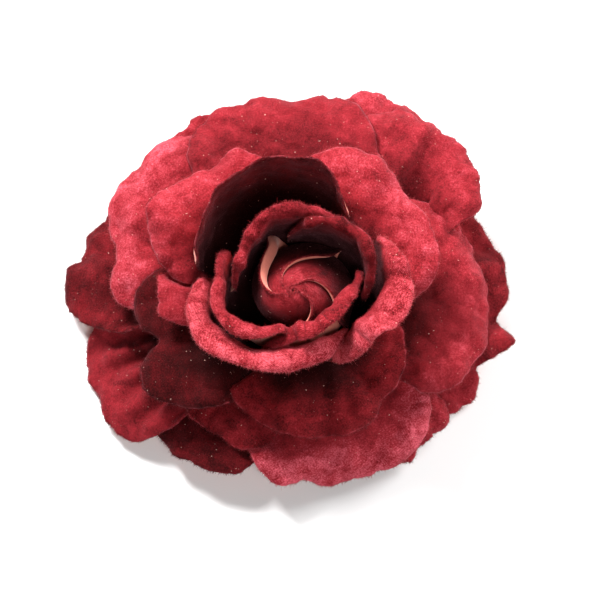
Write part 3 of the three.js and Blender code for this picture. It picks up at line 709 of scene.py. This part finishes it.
def crumpled(p, across, along, v, ruffle, pleat, crumple, seed, folds=()):
    """Moves a petal's points along its normals: ruffles that grow to the edge, pleats that run along
    it, and crossed sine waves for its creases and dimples. A fold is a step in the cloth along a line
    of its pattern: (across, along) of its middle, its heading, height, sharpness and length."""
    turn = 2 * np.pi
    u = np.linspace(-1, 1, p.shape[0])[:, None]
    wave = ruffle[0] * smooth(v) ** 2 * np.sin(turn * (ruffle[1] * u / 2 + ruffle[2]))
    wave = wave + 0.35 * ruffle[0] * smooth(v) ** 3 * np.sin(turn * (ruffle[1] * 1.1 * u + chance(seed, 4)))
    wave = wave + pleat[0] * np.sin(np.pi * v) * np.sin(np.pi * (pleat[1] * u + chance(seed, 5)))
    q = [turn * chance(seed, k) for k in (6, 7, 8, 9)]
    waves = np.sin(across * 0.55 + along * 0.21 + q[0]) * np.sin(along * 0.47 - across * 0.18 + q[1])
    dimples = np.sin(across * 0.93 - along * 0.51 + q[2]) * np.sin(along * 0.86 + across * 0.35 + q[3])
    creases = 1 - np.abs(np.sin(across * 0.2 + along * 0.33 + q[2] + 0.8 * waves)) ** 0.6
    wave = wave + crumple * smooth(2 * v) * (0.6 * waves + 0.35 * dimples - 0.7 * creases)
    for middle_across, middle_along, heading, height, sharpness, length in folds:
        h = np.radians(heading)
        x, y = across - middle_across, along - middle_along
        off, on = x * np.cos(h) - y * np.sin(h), x * np.sin(h) + y * np.cos(h)
        wave = wave + height * np.tanh(off / sharpness) * np.exp(-(off / 9) ** 2 - (on / length) ** 2)
    return p + face_normals(p) * wave[..., None]


def wrapped_petal(turn, crest, height, lip, belly=18.0, base=(4.5, 21.0), curl=125, start=0.74,
                  inward=0.12, shoulder=0.3, ruffle=(0.35, 4.0, 0.0), crumple=0.3, seed=1):
    """A petal that stands round the bud, from one azimuth to another: each line rises from the root
    along a cubic that swells to the belly, up to a crest whose radius and height follow smooth
    curves through the values, and its lip then rolls outwards. Its sides are rounded off."""
    u = np.linspace(0, 1, ACROSS)[:, None]
    v = np.linspace(0, 1, ALONG)[None, :]
    azimuth = np.radians(turn[0] + (turn[1] - turn[0]) * u)
    scallop = 0.02 * np.sin(2 * np.pi * (2.3 * u + chance(seed, 1)))
    scallop = scallop + 0.012 * np.sin(2 * np.pi * (5.1 * u + chance(seed, 2)))
    scallop = scallop + 0.006 * np.sin(2 * np.pi * (13.3 * u + chance(seed, 10)))
    side = np.abs(2 * u - 1)
    rounded = 1 - shoulder * side ** 5 + scallop
    top = base[1] + (through(height, u) - base[1]) * rounded
    radius = through(crest, u)
    knots = [(base[0] + 0 * u, base[1] + 0 * u), (belly + 0 * u, base[1] + 1.0 + 0 * u),
             (radius + inward * (belly - radius), base[1] + 0.6 * (top - base[1])), (radius, top)]
    t = np.minimum(v / start, 1)
    weights = [(1 - t) ** 3, 3 * t * (1 - t) ** 2, 3 * t ** 2 * (1 - t), t ** 3]
    rho, z = (sum(w * k[axis] for w, k in zip(weights, knots)) for axis in (0, 1))
    reach = 1.5 * through(lip, u) * np.sqrt(1 - 0.7 * side ** 8)
    beyond = np.maximum(v - start, 0) / (1 - start) * reach
    lean_in = np.arctan2(knots[3][0] - knots[2][0], knots[3][1] - knots[2][1])
    rho = rho + beyond * np.sin(lean_in)
    z = z + beyond * np.cos(lean_in)
    p = np.stack([rho * np.cos(azimuth), rho * np.sin(azimuth), z], -1)
    if turn[1] < turn[0]:
        p = p[::-1]
    across, along = flat_lengths(p)
    p = roll_lip(p, curl, start, seed)
    p = crumpled(p, across, along, v, ruffle, (0, 1), crumple, seed)
    return lean_forward(p), np.stack([across, along], -1)


WRAPPED = {
    "heart_front_left": dict(turn=(272, 142), crest=(8, 9.2, 13, 16.4, 16.2, 19),
                             height=(36, 37, 38, 38, 37.5, 35), lip=(1.5, 3, 4, 3, 2.5, 2.5),
                             belly=17, seed=43),
    "heart_front_right": dict(turn=(22, -120), crest=(16.5, 11, 9.5, 8.5, 8.6, 14),
                              height=(39, 39, 38.3, 38, 37, 36), lip=(2, 3.5, 5, 5.2, 4.2, 2.5),
                              belly=17.5, seed=44),
    "heart_right": dict(turn=(94, 0), crest=(14.5, 15.8, 17.6, 18.9, 18.2, 16.5),
                        height=(41, 43, 43, 42, 41, 36), lip=(1, 1.6, 2.4, 2.8, 2.4, 1.2),
                        belly=19.5, seed=42),
    "heart_left": dict(turn=(170, 58), crest=(13.6, 13.3, 14.9, 17, 18, 19.6),
                       height=(36, 39.5, 42, 43.5, 44, 43), lip=(1.6, 2.2, 2.8, 3, 2.6, 1.6),
                       belly=19.5, seed=41),
    "rim_back": dict(turn=(160, 56), crest=(24, 27.5, 30, 31.2, 30, 23),
                     height=(38.5, 43.5, 46.8, 48, 47, 42), lip=(0.5, 0.5, 0.5, 0.5, 0.5, 0.5),
                     belly=27, base=(6, 20.5), curl=20, start=0.9, shoulder=0.1, seed=33),
    "rim_front": dict(turn=(164, 330), crest=(20, 19.9, 16.6, 13.4, 12.8, 13.8),
                      height=(31, 33, 33, 33, 33.3, 33), lip=(3.5, 6, 6.5, 6.5, 5.5, 3),
                      belly=20, base=(6, 19.5), curl=140, seed=31),
    "rim_right": dict(turn=(36, -54), crest=(24.5, 22.7, 21, 17.7, 16.2, 16),
                      height=(39.5, 38, 36, 34, 31.5, 28.5), lip=(2, 5, 7.5, 10.5, 9, 5),
                      belly=22, base=(6, 19), curl=105, start=0.6, seed=32),
}
# Painted light and shade of each standing petal: brighter where the lamps light it, darker in shade.
STANDING_LIGHT_AND_SHADE = {
    "heart_front_left": 1.1, "heart_left": 1.0, "heart_right": 0.7, "heart_front_right": 0.95,
    "rim_back": 0.55, "rim_front": 1.4, "rim_right": 1.35,
}
STANDING_ROOT_SHADE = 0.05
for name, cut in WRAPPED.items():
    p, flat = wrapped_petal(**cut)
    ceiling.lay(p)
    tone = finish_petal(name, p, flat, STANDING_LIGHT_AND_SHADE[name], STANDING_ROOT_SHADE, shaded_crimson)
    rings.setdefault(name.split("_")[0], []).append((p, tone))


# ---- The cup, wide and outer petals: six, five and eleven, lying below the heart in rings. They are
# laid from the inside out, each pressed down clear of those over it, and droop at their tips.

def spine(base, length, slope):
    """A petal's middle line from its root: its angle above level is a quadratic through slope at the
    root, middle and tip, and summing its cosine and sine gives radius and height."""
    t = np.linspace(0, 1.15, 160)
    a0, a1, a2 = np.radians(slope)
    angle = a0 * (2 * t - 1) * (t - 1) + a1 * 4 * t * (1 - t) + a2 * t * (2 * t - 1)
    middle = (angle[1:] + angle[:-1]) / 2
    step = length * (t[1] - t[0])
    rho = base[0] + step * np.concatenate([[0], np.cumsum(np.cos(middle))])
    z = base[1] + step * np.concatenate([[0], np.cumsum(np.sin(middle))])
    return t, rho, z, angle


def fan_petal(az, base, length, fan, slope, cup=(0.01, 0.0), lip=(0, 0.8), twist=0, skew=0,
              ruffle=(0.8, 2.0, 0.0), notch=(0, 0), shoulder=0.3, pleat=(0.0, 6), seed=1,
              crumple=0.72, root=3.0, folds=()):
    """A fan cut flat (a point is r out at angle phi), carried along its spine, cupped across with
    curvature `cup`, its lip rolled back, then ruffled, pleated and crumpled along its normals.
    Gives the points and the flat pattern, in millimetres."""
    u = np.linspace(-1, 1, ACROSS)[:, None]
    v = np.linspace(0, 1, ALONG)[None, :]
    turn = 2 * np.pi
    scallop = 0.024 * np.sin(turn * (1.1 * u + chance(seed, 1)))
    scallop = scallop + 0.007 * np.sin(turn * (2.7 * u + chance(seed, 2)))
    fray = np.sin(turn * (6.3 * u + chance(seed, 10))) + np.sin(turn * (11.7 * u + chance(seed, 11)))
    scallop = scallop + 0.0035 * fray * (0.5 + 0.5 * np.sin(turn * (1.7 * u + chance(seed, 12))))
    dent = notch[0] * np.exp(-((u - notch[1]) / 0.13) ** 2)
    r = v * length * (1 - shoulder * np.abs(u) ** 3 + scallop - dent)
    phi = np.radians(fan) * u
    across = r * np.sin(phi) + root * u * (1 - v)
    along = r * np.cos(phi)

    t, rho_t, z_t, angle_t = spine(base, length, slope)
    out = along / length
    rho, z, angle = (np.interp(out, t, line) for line in (rho_t, z_t, angle_t))
    bend = cup[0] + (cup[1] - cup[0]) * np.clip(out, 0, 1.1) + 1e-5
    flat_side = np.sin(bend * across) / bend
    flat_rise = (1 - np.cos(bend * across)) / bend
    tilt = np.radians(twist)
    side = flat_side * np.cos(tilt) - flat_rise * np.sin(tilt) + skew * out ** 2
    rise = flat_side * np.sin(tilt) + flat_rise * np.cos(tilt)
    radial = rho - np.sin(angle) * rise
    a = np.radians(az)
    p = np.stack([radial * np.cos(a) - side * np.sin(a), radial * np.sin(a) + side * np.cos(a),
                  z + np.cos(angle) * rise], -1)
    if lip[0]:
        p = roll_lip(p, *lip, seed)

    p = crumpled(p, across, along, v, ruffle, pleat, crumple, seed, folds)
    return lean_forward(p), np.stack([across, along], -1)


PETALS = {
    "cup_back_right": dict(az=48, base=(7, 15.5), length=39, fan=52, slope=(24, 42, -5),
                           cup=(0.02, 0.012), lip=(60, 0.75), skew=3, seed=22),
    "cup_back_left": dict(az=131, base=(7, 15), length=39.5, fan=41, slope=(20, 38, -8),
                          cup=(0.02, 0.012), lip=(60, 0.75), seed=21),
    "cup_left": dict(az=175, base=(7, 16.5), length=29, fan=26, slope=(8, 38, -10), lip=(50, 0.7),
                     shoulder=0.5, ruffle=(0.3, 2, 0), crumple=0.25, seed=23),
    "cup_front": dict(az=-65, base=(7, 16.5), length=26.5, fan=76, slope=(12, 6, -24), lip=(30, 0.8),
                      shoulder=0.18, ruffle=(1.0, 4, 0.1), seed=25),
    "cup_front_left": dict(az=198, base=(7, 17), length=33.5, fan=50, slope=(18, 6, -20),
                           notch=(0.17, -0.1), lip=(30, 0.85), seed=24),
    "cup_front_low": dict(az=-121, base=(7, 16), length=29, fan=38, slope=(5, -8, -25), seed=26),
    "wide_back": dict(az=92, base=(8, 16.5), length=49.8, fan=42, slope=(15, 10, -8), cup=(0.02, 0),
                      lip=(45, 0.82), ruffle=(1.0, 3, 0), seed=11),
    "wide_left": dict(az=136, base=(8, 15.5), length=49.5, fan=66, slope=(12, 5, -26), lip=(60, 0.76),
                      skew=-2, shoulder=0.62, notch=(0.14, 0.5), ruffle=(1.0, 3, 0.3), seed=12,
                      folds=((12, 30, 15, -1.6, 1.0, 12), (-9, 32, -20, 1.2, 1.0, 9))),
    "wide_right": dict(az=8, base=(8, 16), length=42, fan=52, slope=(12, 0, -25), lip=(50, 0.8),
                       shoulder=0.25, seed=13),
    "wide_front": dict(az=-65, base=(8, 14.5), length=37.5, fan=60, slope=(3, -12, -40),
                       notch=(0.08, -0.45), lip=(40, 0.8), seed=14),
    "wide_back_right": dict(az=51, base=(8, 15.3), length=53.5, fan=26, slope=(13, 8, -5), shoulder=0.2,
                            lip=(50, 0.85), seed=16, folds=((1, 37, 8, 2.4, 0.8, 13),)),
    "outer_left": dict(az=162, base=(9, 13.2), length=50, fan=29, slope=(4, -8, -30), lip=(25, 0.85),
                       ruffle=(1.5, 2, 0.1), seed=1),
    "outer_left_low": dict(az=197, base=(9, 12.5), length=44.5, fan=34, slope=(1, -13, -34),
                           pleat=(1.4, 6), seed=2),
    "outer_front_left": dict(az=230, base=(9, 14), length=35.5, fan=38, slope=(2, -10, -33), seed=3),
    "outer_front": dict(az=272, base=(9, 12.3), length=30.5, fan=30, slope=(0, -15, -40), seed=4),
    "outer_front_right": dict(az=320, base=(9, 13.5), length=37.5, fan=24, slope=(3, -12, -35),
                              lip=(30, 0.8), seed=5),
    "outer_right_low": dict(az=341, base=(9, 12.2), length=40, fan=20, slope=(1, -13, -35), seed=15),
    "outer_right": dict(az=14, base=(9, 13.5), length=47, fan=44, slope=(5, -8, -30),
                        ruffle=(2, 3, 0.2), notch=(0.08, -0.32), seed=6),
    "outer_back_right": dict(az=64, base=(9, 13.4), length=55.5, fan=24, slope=(9, 6, 0),
                             lip=(60, 0.78), seed=7),
    "outer_back_left": dict(az=117, base=(9, 13.5), length=49, fan=17, slope=(8, 0, -5), seed=8),
    "outer_left_high": dict(az=131, base=(9, 14.2), length=46, fan=16, slope=(6, 1, -12), seed=9),
    "outer_back": dict(az=95, base=(9, 12.3), length=43, fan=28, slope=(0, -13, -46), seed=10),
}
# Painted light and shade of each lying petal: brighter where the lamps light it, darker in shade.
LYING_LIGHT_AND_SHADE = {
    "cup_back_right": 1.15, "cup_back_left": 1.05, "cup_left": 1.05,
    "cup_front_left": 0.36, "cup_front": 0.76, "cup_front_low": 0.75,
    "wide_back": 0.85, "wide_left": 1.25, "wide_right": 1.05, "wide_front": 1.4, "wide_back_right": 1.0,
    "outer_left": 0.55, "outer_left_low": 0.8, "outer_front_left": 0.42, "outer_right": 0.75,
    "outer_back_right": 1.1,
}
LAY_GAP = 1.1
FLOOR_CLEAR = 0.8                 # a petal's least height over what the clip lies on
SHADED = 0.78                     # petals painted darker than this are of the shaded copy of the velvet: painted shade
for name, cut in PETALS.items():
    p, flat = fan_petal(**cut)
    p = ceiling.under(p, LAY_GAP)
    p[..., 2] = np.maximum(p[..., 2], FLOOR_CLEAR)
    ceiling.lay(p)
    tone = LYING_LIGHT_AND_SHADE.get(name, 1.0)
    tone = finish_petal(name, p, flat, tone, face=shaded_crimson if tone < SHADED else crimson)
    rings.setdefault(name.split("_")[0], []).append((p, tone))


# ---- The pile's loose fibres: cut ends of it that stand off the petals' edges and faces, fine spikes
# gathered into one piece for each ring of petals. The bud has them twice as thick.

EDGE_PILE = 12                    # fibres to a millimetre of edge
FACE_PILE = 3.0                   # and to a square millimetre of face
PILE_FROM = 0.35                  # the share of a petal, from its root, that others keep covered
FIBRE_WIDTH = 0.1
LOWEST_TIP = 0.1
LONG_SHARE, LONG_TIMES = 0.015, 2.2   # a few fibres stand out
SPIKE_FACES = ([0, 2, 1], [0, 1, 3], [1, 2, 3], [2, 0, 3])
fibre_chance = np.random.default_rng(7)


def between(grid, i, j):
    """A grid's values at fractional places, straight between its points."""
    a, b = np.minimum(i.astype(int), grid.shape[0] - 2), np.minimum(j.astype(int), grid.shape[1] - 2)
    f, g = (i - a)[:, None], (j - b)[:, None]
    return ((1 - f) * ((1 - g) * grid[a, b] + g * grid[a, b + 1])
            + f * ((1 - g) * grid[a + 1, b] + g * grid[a + 1, b + 1]))


def pile_of(p, tone):
    """Where a petal's loose fibres stand: feet along its cut edges, pointing outwards, and feet over
    its face, pointing up and towards its edge. Gives feet, tips and each one's tone, the painted light
    and shade of its petal."""
    nu, nv = p.shape[:2]
    normal = face_normals(p)
    edge_i = np.concatenate([np.zeros(nv), np.arange(1, nu), np.full(nv - 1, nu - 1)])
    edge_j = np.concatenate([np.arange(nv), np.full(nu - 1, nv - 1), np.arange(nv - 2, -1, -1)])
    rim = between(p, edge_i, edge_j)
    within = between(p, np.clip(edge_i, 2, nu - 3), np.clip(edge_j, 0, nv - 3))
    reach = np.concatenate([[0], np.cumsum(np.linalg.norm(np.diff(rim, axis=0), axis=1))])
    at = fibre_chance.uniform(0, reach[-1], int(reach[-1] * EDGE_PILE))
    place = np.interp(at, reach, np.arange(len(reach)))
    k = place.astype(int)
    i, j = np.interp(place, np.arange(len(reach)), edge_i), np.interp(place, np.arange(len(reach)), edge_j)
    out = (rim - within)[k]
    out = out / np.maximum(np.linalg.norm(out, axis=1, keepdims=True), 1e-6)
    side = between(normal, i, j)
    feet_edge = between(p, i, j) + side * fibre_chance.uniform(-0.2, 0.3, (len(k), 1)) - out * 0.1
    rise = fibre_chance.uniform(-0.3, 1.0, (len(k), 1))
    way_edge = out + side * rise + fibre_chance.normal(0, 0.35, (len(k), 3))

    area = np.linalg.norm(np.cross(p[1:, 1:] - p[:-1, :-1], p[:-1, 1:] - p[1:, :-1]), axis=-1) / 2
    area[:, :int(PILE_FROM * nv)] = 0
    cell = fibre_chance.choice(area.size, int(area.sum() * FACE_PILE), p=(area / area.sum()).ravel())
    fi = cell // (nv - 1) + fibre_chance.uniform(0, 1, len(cell))
    fj = cell % (nv - 1) + fibre_chance.uniform(0, 1, len(cell))
    up = between(normal, fi, fj)
    along = between(np.gradient(p, axis=1), fi, fj)
    along = along / np.linalg.norm(along, axis=1, keepdims=True)
    feet_face = between(p, fi, fj) + up * 0.3
    way_face = up * 0.8 + along * 0.6 + fibre_chance.normal(0, 0.5, (len(cell), 3))

    feet = np.concatenate([feet_edge, feet_face])
    way = np.concatenate([way_edge, way_face])
    edge_length = fibre_chance.uniform(0.3, 0.95, len(k))
    length = np.concatenate([edge_length, fibre_chance.uniform(0.3, 0.6, len(cell))])
    length = np.where(fibre_chance.uniform(0, 1, len(length)) < LONG_SHARE, length * LONG_TIMES, length)
    way = way / np.linalg.norm(way, axis=1, keepdims=True) * length[:, None]
    shade = between((tone + np.zeros((nu, nv)))[..., None], np.concatenate([i, fi]), np.concatenate([j, fj]))
    return feet, feet + way, shade[:, 0]


def pile_piece(name, petals, finish):
    """One piece of all the loose fibres of some petals, each a spike of four faces: a small triangle
    at its foot, and a point."""
    feet, tips, shade = (np.concatenate(parts) for parts in zip(*(pile_of(*petal) for petal in petals)))
    tips[:, 2] = np.maximum(tips[:, 2], LOWEST_TIP)
    way = tips - feet
    way = way / np.linalg.norm(way, axis=1, keepdims=True)
    one = np.cross(way, way[:, [1, 2, 0]] + 0.3)
    one = one / np.linalg.norm(one, axis=1, keepdims=True) * FIBRE_WIDTH / 2
    other = np.cross(way, one)
    corners = [feet + one, feet - one / 2 + other * 0.87, feet - one / 2 - other * 0.87, tips]
    first = np.arange(len(feet))[:, None] * 4
    faces = np.concatenate([first + k for k in SPIKE_FACES], 1).reshape(-1, 3)
    piece = link_mesh(name, np.stack(corners, 1).reshape(-1, 3), faces, [finish],
                      [("tone", np.repeat(shade, 4))], soft=False)
    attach(piece, "flower")


def fibre(name, deep, full, painted_highlight):
    """Loose fibres of the pile, with their petals' painted light and shade: darker where the petals are
    painted dark, turning to a pink painted highlight where they are painted bright.
    """
    r = Recipe(name)
    at = r.place()
    mixed = r.noise(at, 0.5, 3.0, 0.8)
    # The tone carries the petals' painted light and shade.
    shade = (mixed * 1.6 - 0.4) * r.painted("tone")
    colour = r.mix(shade.above(0.0, 0.6), deep + (1,), full + (1,))
    colour = r.mix(shade.above(0.45, 1.0), colour, painted_highlight + (1,))
    return r.finish(Base_Color=colour, Roughness=0.9, Specular_IOR_Level=0.1,
                    Sheen_Weight=0.15, Sheen_Roughness=0.3, Sheen_Tint=(1.0, 0.4, 0.45, 1))


crimson_fibre = fibre("crimson_fibre", (0.02, 0.001, 0.001), (0.34, 0.02, 0.025), (0.8, 0.2, 0.22))
for ring, petals in rings.items():
    pile_piece(ring + "_pile", petals, crimson_fibre)


# ---- The stage: a pale floor, soft lamps and a camera looking down at the flower.

CAMERA_AIM = Vector((1.7, 1.9, 20)) * MM
CAMERA_ELEVATION = math.radians(70)
CAMERA_DISTANCE = 0.6
VIEW_WIDTH = 0.1447               # seen at the aim
FLOOR_REACH = 3.0

floor_mesh = bpy.data.meshes.new("floor")
corners = [(x * FLOOR_REACH, y * FLOOR_REACH, 0) for x, y in ((-1, -1), (1, -1), (1, 1), (-1, 1))]
floor_mesh.from_pydata(corners, [], [(0, 1, 2, 3)])
floor = bpy.data.objects.new("floor", floor_mesh)
bpy.context.scene.collection.objects.link(floor)
paper = Recipe("pale_floor")
floor_mesh.materials.append(paper.finish(Base_Color=(0.9, 0.9, 0.9, 1), Roughness=0.9))


def soft_lamp(name, place, size, power):
    """A square lamp that faces the flower."""
    light = bpy.data.lights.new(name, "AREA")
    light.size = size
    light.energy = power
    lamp = bpy.data.objects.new(name, light)
    lamp.location = place
    lamp.rotation_mode = "QUATERNION"
    lamp.rotation_quaternion = (CAMERA_AIM - Vector(place)).to_track_quat("-Z", "Y")
    bpy.context.scene.collection.objects.link(lamp)


soft_lamp("window", (-0.28, 0.42, 0.55), 0.22, 13)
soft_lamp("side", (0.5, 0.3, 0.35), 0.3, 5)
soft_lamp("front", (0.15, -0.5, 0.7), 0.3, 3.5)
world = bpy.data.worlds.new("room")
world.use_nodes = True
world.node_tree.nodes["Background"].inputs["Color"].default_value = (1, 1, 1, 1)
world.node_tree.nodes["Background"].inputs["Strength"].default_value = 0.16
bpy.context.scene.world = world
bpy.context.scene.view_settings.view_transform = "Standard"

back = Vector((0, -math.cos(CAMERA_ELEVATION), math.sin(CAMERA_ELEVATION)))
camera = bpy.data.objects.new("camera", bpy.data.cameras.new("camera"))
camera.data.lens = camera.data.sensor_width * CAMERA_DISTANCE / VIEW_WIDTH
camera.location = CAMERA_AIM + back * CAMERA_DISTANCE
camera.rotation_mode = "QUATERNION"
camera.rotation_quaternion = (-back).to_track_quat("-Z", "Y")
bpy.context.scene.collection.objects.link(camera)
bpy.context.scene.camera = camera
